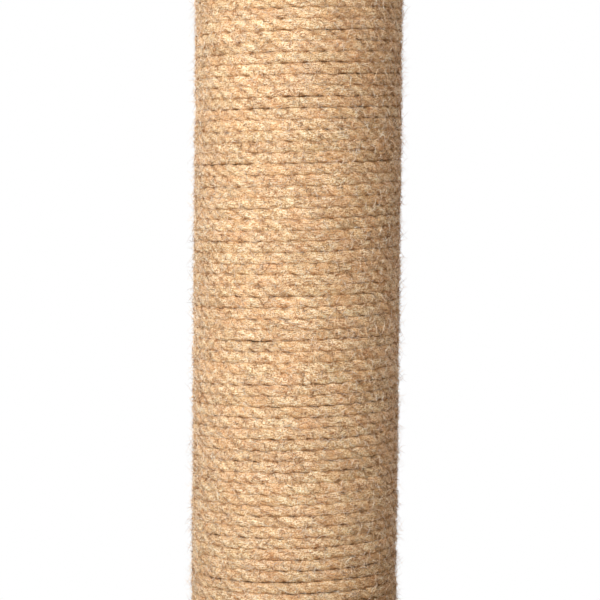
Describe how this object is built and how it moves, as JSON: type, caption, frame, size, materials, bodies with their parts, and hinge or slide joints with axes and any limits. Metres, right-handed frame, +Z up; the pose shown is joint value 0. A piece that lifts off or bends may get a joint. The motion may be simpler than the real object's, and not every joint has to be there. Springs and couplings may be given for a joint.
{
  "type": "wall-mounted cat tree",
  "caption": "Wall-hung cat tree: a rope-wound scratching post bolted between a step board and a cushioned perch board on steel brackets.",
  "frame": {"origin": "on the wall plane, at the middle of the four wall holes of the two perch brackets", "axes": "+Y into the wall, +Z up along the post, +X to the right as seen by someone facing the wall"},
  "size_m": [0.48, 0.32, 0.6723],
  "materials": {
    "birch_ply": "clear-lacquered birch plywood, striped at the edges",
    "paper_tube": "spiral-wound brown paperboard",
    "jute": "three-strand jute rope with loose fuzz",
    "pine": "bare turned pine",
    "zinc_steel": "bright zinc-plated steel",
    "brass": "plain turned brass",
    "enamel": "fine-textured anthracite powder coat on steel",
    "cushion_cloth": "cream woven cotton over soft filling",
    "wool_felt": "pressed grey-brown wool felt",
    "hook_tape": "off-white nylon hook tape",
    "loop_tape": "off-white nylon loop tape"
  },
  "bodies": {
    "tree": {"perch_board": "birch_ply", "step_board": "birch_ply", "core_tube": "paper_tube", "lower_rope_turns": "jute", "middle_rope_turns": "jute", "upper_rope_turns": "jute", "top_plug": "pine", "bottom_plug": "pine", "top_plug_tacks": "zinc_steel", "bottom_plug_tacks": "zinc_steel", "top_insert": "brass", "bottom_insert": "brass", "top_bolt": "zinc_steel", "bottom_bolt": "zinc_steel", "top_washer": "zinc_steel", "bottom_washer": "zinc_steel", "top_rope_staples": "zinc_steel", "bottom_rope_staples": "zinc_steel", "left_perch_bracket": "enamel", "right_perch_bracket": "enamel", "left_step_bracket": "enamel", "right_step_bracket": "enamel", "perch_bracket_screws": "zinc_steel", "step_bracket_screws": "zinc_steel", "perch_hook_tape": "hook_tape", "step_hook_tape": "hook_tape"},
    "cushion": {"perch_cushion": "cushion_cloth", "cushion_loop_tape": "loop_tape"},
    "mat": {"step_mat": "wool_felt", "mat_loop_tape": "loop_tape"}
  },
  "joints": [
    {"name": "cushion_lift", "type": "slide", "parent": "tree", "child": "cushion", "axis": [0, 0, 1], "range_m": [0, 0.08]},
    {"name": "mat_pull", "type": "slide", "parent": "tree", "child": "mat", "axis": [0, -1, 0], "range_m": [0, 0.3]}
  ]
}
